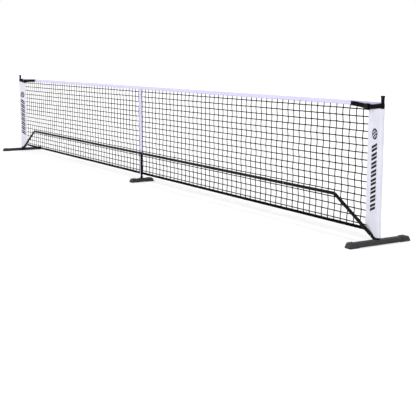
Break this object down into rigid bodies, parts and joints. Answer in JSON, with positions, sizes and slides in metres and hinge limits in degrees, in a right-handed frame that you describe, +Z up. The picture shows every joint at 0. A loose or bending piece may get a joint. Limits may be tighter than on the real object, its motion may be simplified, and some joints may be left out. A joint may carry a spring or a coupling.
{
  "type": "portable pickleball net",
  "caption": "Free-standing portable net: a mesh with white edges and post sleeves, strapped between two posts on a low tube frame with three feet.",
  "frame": {"origin": "on the floor, midway between the two posts, under the middle of the feet", "axes": "+X along the net, +Y towards the side that the net hangs on, +Z up"},
  "size_m": [6.755, 0.516, 0.955],
  "materials": {
    "powder_coated_tube": "black powder coat, semi-gloss",
    "moulded_plastic": "moulded, finely textured",
    "buckle_plastic": "moulded, slight sheen",
    "steel": "plated spring steel",
    "webbing": "woven black polyester webbing",
    "black_tape": "folded and stitched black binding tape",
    "white_vinyl": "coated cloth, pale lavender white, stitched edges",
    "net_twine": "braided black twine"
  },
  "bodies": {
    "frame": {"left_foot_tube": "powder_coated_tube", "left_foot_cap_front": "moulded_plastic", "left_foot_cap_back": "moulded_plastic", "left_foot_socket": "powder_coated_tube", "left_post": "powder_coated_tube", "left_post_cap": "moulded_plastic", "left_bent_tube": "powder_coated_tube", "left_outer_bar": "powder_coated_tube", "left_inner_bar": "powder_coated_tube", "left_net_sleeve": "white_vinyl", "left_tension_strap": "webbing", "left_buckle_anchor": "webbing", "left_buckle_frame": "buckle_plastic", "left_buckle_pin": "steel", "right_foot_tube": "powder_coated_tube", "right_foot_cap_front": "moulded_plastic", "right_foot_cap_back": "moulded_plastic", "right_foot_socket": "powder_coated_tube", "right_post": "powder_coated_tube", "right_post_cap": "moulded_plastic", "right_bent_tube": "powder_coated_tube", "right_outer_bar": "powder_coated_tube", "right_inner_bar": "powder_coated_tube", "right_net_sleeve": "white_vinyl", "right_tension_strap": "webbing", "right_buckle_anchor": "webbing", "right_buckle_frame": "buckle_plastic", "right_buckle_pin": "steel", "center_foot_tube": "powder_coated_tube", "center_foot_cap_front": "moulded_plastic", "center_foot_cap_back": "moulded_plastic", "center_foot_socket": "powder_coated_tube", "center_tee": "powder_coated_tube", "center_leg": "powder_coated_tube", "spring_clips": "steel", "net_mesh": "net_twine", "top_band": "white_vinyl", "bottom_tape": "black_tape", "center_strip": "white_vinyl", "center_tie_strap": "webbing"},
    "left_post_button": {"left_post_button": "steel"},
    "left_brace_button": {"left_brace_button": "steel"},
    "left_corner_button": {"left_corner_button": "steel"},
    "left_bar_button": {"left_bar_button": "steel"},
    "left_tee_button": {"left_tee_button": "steel"},
    "left_buckle_lever": {"left_buckle_lever": "buckle_plastic"},
    "right_post_button": {"right_post_button": "steel"},
    "right_brace_button": {"right_brace_button": "steel"},
    "right_corner_button": {"right_corner_button": "steel"},
    "right_bar_button": {"right_bar_button": "steel"},
    "right_tee_button": {"right_tee_button": "steel"},
    "right_buckle_lever": {"right_buckle_lever": "buckle_plastic"},
    "leg_top_button": {"leg_top_button": "steel"},
    "leg_foot_button": {"leg_foot_button": "steel"}
  },
  "joints": [
    {"name": "left_post_button_slide", "type": "slide", "parent": "frame", "child": "left_post_button", "axis": [0, 1, 0], "range_m": [0, 0.0037], "stiffness_N_per_m": 900, "springref_m": -0.001},
    {"name": "left_brace_button_slide", "type": "slide", "parent": "frame", "child": "left_brace_button", "axis": [0, 1, 0], "range_m": [0, 0.0032], "stiffness_N_per_m": 900, "springref_m": -0.001},
    {"name": "left_corner_button_slide", "type": "slide", "parent": "frame", "child": "left_corner_button", "axis": [0, 1, 0], "range_m": [0, 0.0032], "stiffness_N_per_m": 900, "springref_m": -0.001},
    {"name": "left_bar_button_slide", "type": "slide", "parent": "frame", "child": "left_bar_button", "axis": [0, 1, 0], "range_m": [0, 0.0032], "stiffness_N_per_m": 900, "springref_m": -0.001},
    {"name": "left_tee_button_slide", "type": "slide", "parent": "frame", "child": "left_tee_button", "axis": [0, 1, 0], "range_m": [0, 0.0032], "stiffness_N_per_m": 900, "springref_m": -0.001},
    {"name": "left_buckle_lever_hinge", "type": "hinge", "parent": "frame", "child": "left_buckle_lever", "pos_m": [-3.20707, -0.0036, 0.88007], "axis": [0.0924, 0, -0.9957], "range_deg": [0, 80]},
    {"name": "right_post_button_slide", "type": "slide", "parent": "frame", "child": "right_post_button", "axis": [0, 1, 0], "range_m": [0, 0.0037], "stiffness_N_per_m": 900, "springref_m": -0.001},
    {"name": "right_brace_button_slide", "type": "slide", "parent": "frame", "child": "right_brace_button", "axis": [0, 1, 0], "range_m": [0, 0.0032], "stiffness_N_per_m": 900, "springref_m": -0.001},
    {"name": "right_corner_button_slide", "type": "slide", "parent": "frame", "child": "right_corner_button", "axis": [0, 1, 0], "range_m": [0, 0.0032], "stiffness_N_per_m": 900, "springref_m": -0.001},
    {"name": "right_bar_button_slide", "type": "slide", "parent": "frame", "child": "right_bar_button", "axis": [0, 1, 0], "range_m": [0, 0.0032], "stiffness_N_per_m": 900, "springref_m": -0.001},
    {"name": "right_tee_button_slide", "type": "slide", "parent": "frame", "child": "right_tee_button", "axis": [0, 1, 0], "range_m": [0, 0.0032], "stiffness_N_per_m": 900, "springref_m": -0.001},
    {"name": "right_buckle_lever_hinge", "type": "hinge", "parent": "frame", "child": "right_buckle_lever", "pos_m": [3.20707, -0.0036, 0.88007], "axis": [0.0924, 0, 0.9957], "range_deg": [0, 80]},
    {"name": "leg_top_button_slide", "type": "slide", "parent": "frame", "child": "leg_top_button", "axis": [0, 1, 0], "range_m": [0, 0.0032], "stiffness_N_per_m": 900, "springref_m": -0.001},
    {"name": "leg_foot_button_slide", "type": "slide", "parent": "frame", "child": "leg_foot_button", "axis": [0, 1, 0], "range_m": [0, 0.0032], "stiffness_N_per_m": 900, "springref_m": -0.001}
  ]
}
